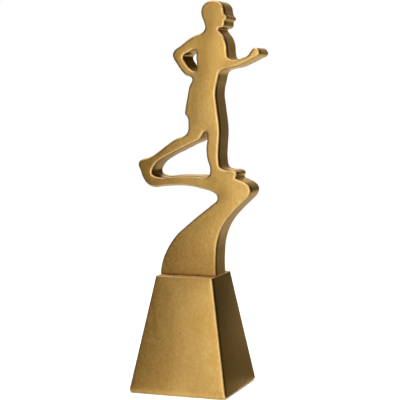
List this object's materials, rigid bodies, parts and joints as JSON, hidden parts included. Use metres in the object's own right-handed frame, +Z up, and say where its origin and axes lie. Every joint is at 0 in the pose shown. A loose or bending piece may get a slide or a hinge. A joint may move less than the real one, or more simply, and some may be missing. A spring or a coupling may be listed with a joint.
{
  "type": "figure trophy",
  "caption": "Flat silhouette runner on an S-curved path: a thick metal plate bolted to a hollow tapered base with ballast inside and a felt pad below.",
  "frame": {"origin": "centre of the felt pad's underside, in the middle of the square base", "axes": "+Z up, +X along the plate in the direction the figure runs, -Y out of the front face"},
  "size_m": [0.0941, 0.0746, 0.2875],
  "materials": {
    "antique_brass": "satin",
    "plain_brass": "satin",
    "zinc_steel": "satin",
    "cast_iron": "matte",
    "black_felt": "matte"
  },
  "bodies": {
    "root": {"figure_plate": "antique_brass", "figure_insert": "plain_brass", "dowel_left": "zinc_steel", "dowel_right": "zinc_steel", "threaded_rod": "zinc_steel", "deck_washer": "zinc_steel", "deck_nut": "zinc_steel", "ballast_weight": "cast_iron", "ballast_washer": "zinc_steel", "ballast_lock_washer": "zinc_steel", "ballast_nut": "zinc_steel", "base_shell": "antique_brass", "bottom_cover": "zinc_steel", "cover_screw_1": "zinc_steel", "cover_screw_2": "zinc_steel", "cover_screw_3": "zinc_steel", "cover_screw_4": "zinc_steel", "cover_insert_1": "plain_brass", "cover_insert_2": "plain_brass", "cover_insert_3": "plain_brass", "cover_insert_4": "plain_brass", "felt_pad": "black_felt"}
  },
  "joints": []
}
